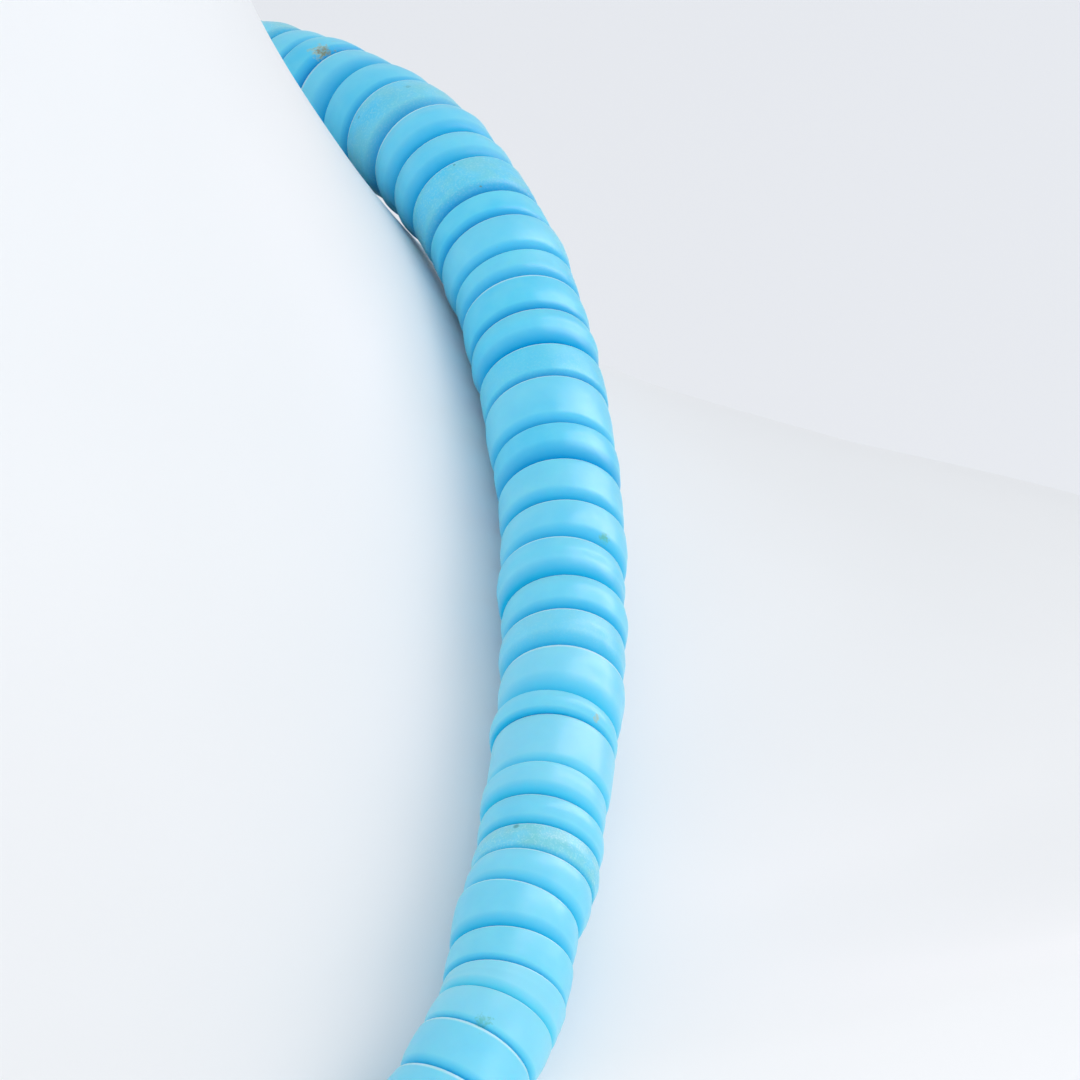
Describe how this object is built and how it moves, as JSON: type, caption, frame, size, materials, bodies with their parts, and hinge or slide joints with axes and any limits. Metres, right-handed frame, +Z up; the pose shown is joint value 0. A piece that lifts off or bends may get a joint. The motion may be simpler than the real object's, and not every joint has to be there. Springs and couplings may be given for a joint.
{
  "type": "beaded necklace on a neck bust",
  "caption": "Necklace of thick turquoise disc beads strung edge to edge in one closed loop, worn on a plain white headless neck bust with a flat base.",
  "frame": {"origin": "centre of the bust's flat base, on the surface it stands on", "axes": "+Z up the neck, -Y the front of the bust, +X the wearer's left"},
  "size_m": [0.2798, 0.1633, 0.25],
  "materials": {
    "bust_gloss_white": "gloss",
    "turquoise": "satin",
    "clasp_silver": "satin"
  },
  "bodies": {
    "root": {"neck_bust": "bust_gloss_white", "bead_strand_left": "turquoise", "bead_strand_right": "turquoise", "clasp": "clasp_silver"}
  },
  "joints": []
}
